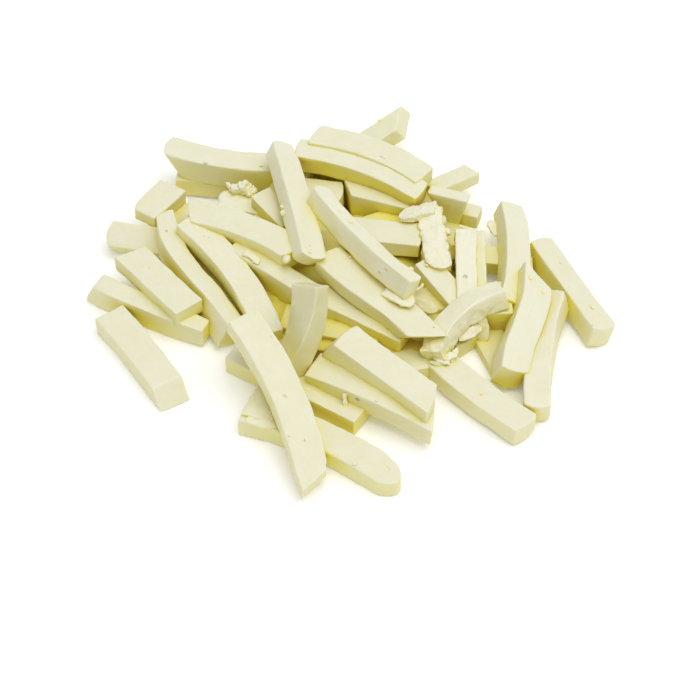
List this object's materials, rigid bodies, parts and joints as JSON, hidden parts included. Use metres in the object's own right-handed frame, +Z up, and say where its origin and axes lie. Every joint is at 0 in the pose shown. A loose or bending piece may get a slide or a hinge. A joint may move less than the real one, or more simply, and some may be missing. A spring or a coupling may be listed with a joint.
{
  "type": "fior di latte mozzarella",
  "caption": "Fior di latte mozzarella cut into soft white strips that lie in a loose low heap, as used to top a pizza.",
  "frame": {"origin": "under the middle of the heap's box, on the surface that the heap lies on", "axes": "+Z up; +Y from the camera's side of the heap to its back; +X to the right seen from the camera's side"},
  "size_m": [0.1496, 0.1417, 0.0286],
  "materials": {
    "fior_di_latte": "moist satin"
  },
  "bodies": {
    "root": {"mozzarella_strips": "fior_di_latte"}
  },
  "joints": []
}
